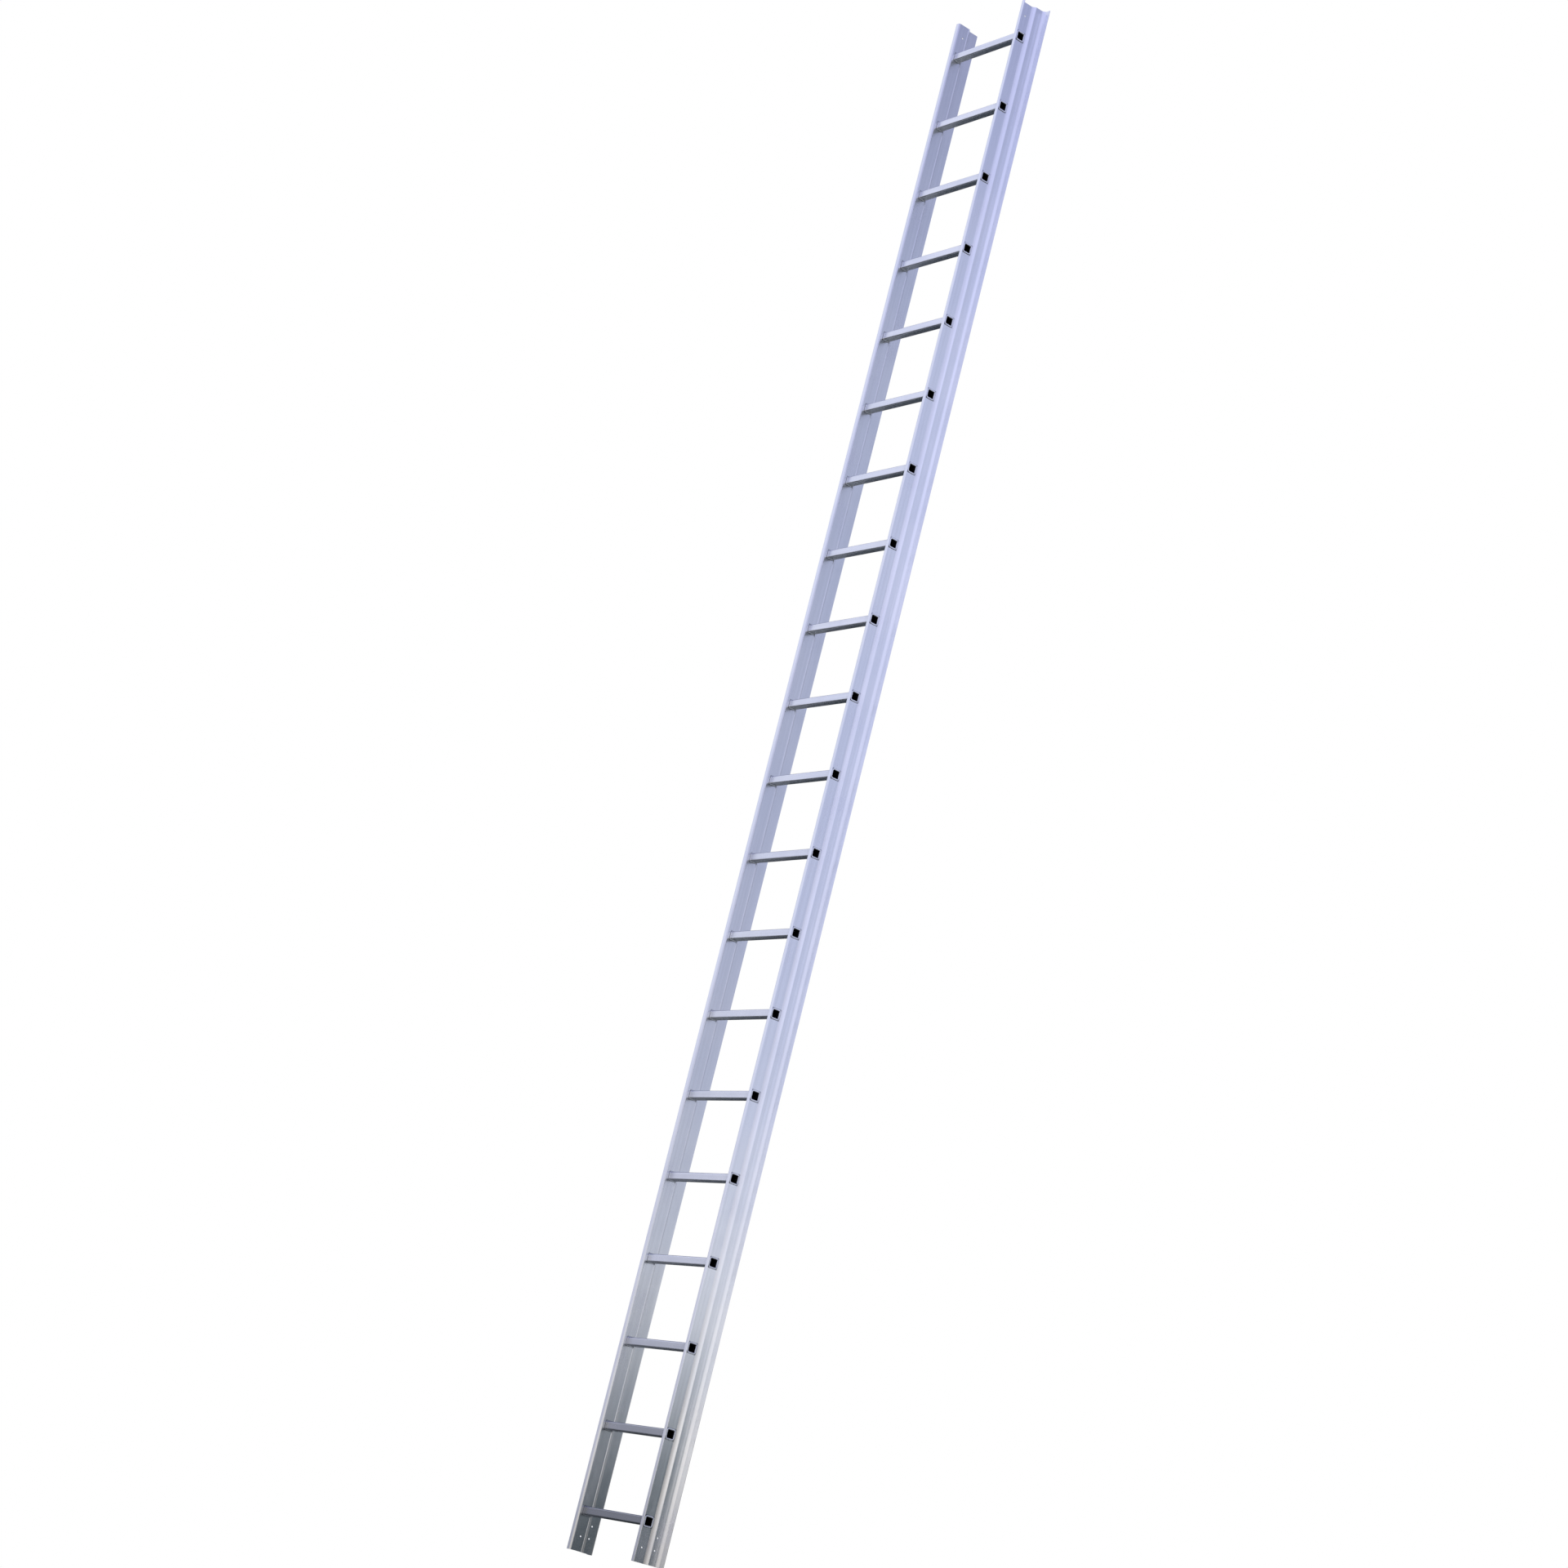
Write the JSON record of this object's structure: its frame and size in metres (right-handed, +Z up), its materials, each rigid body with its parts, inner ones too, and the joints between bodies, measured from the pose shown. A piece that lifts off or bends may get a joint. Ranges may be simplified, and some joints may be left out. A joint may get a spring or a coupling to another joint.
{
  "type": "single-section rung ladder",
  "caption": "Straight aluminium ladder section: two open stepped rails joined by hollow square rungs that are swaged through the rails.",
  "frame": {"origin": "middle of the bounding box at the level of the two rail ends that the ladder stands on", "axes": "+Z up along the rails, +X to the right rail, -Y the climbing side with the front flanges"},
  "size_m": [0.426, 0.103, 5.58],
  "materials": {
    "rail_aluminium": "mill-finish extrusion, satin, with fine die lines along its length",
    "rung_aluminium": "mill-finish extrusion, satin, slightly duller than the rails"
  },
  "bodies": {
    "root": {"left_rail": "rail_aluminium", "right_rail": "rail_aluminium", "rung_01": "rung_aluminium", "rung_02": "rung_aluminium", "rung_03": "rung_aluminium", "rung_04": "rung_aluminium", "rung_05": "rung_aluminium", "rung_06": "rung_aluminium", "rung_07": "rung_aluminium", "rung_08": "rung_aluminium", "rung_09": "rung_aluminium", "rung_10": "rung_aluminium", "rung_11": "rung_aluminium", "rung_12": "rung_aluminium", "rung_13": "rung_aluminium", "rung_14": "rung_aluminium", "rung_15": "rung_aluminium", "rung_16": "rung_aluminium", "rung_17": "rung_aluminium", "rung_18": "rung_aluminium", "rung_19": "rung_aluminium", "rung_20": "rung_aluminium"}
  },
  "joints": []
}
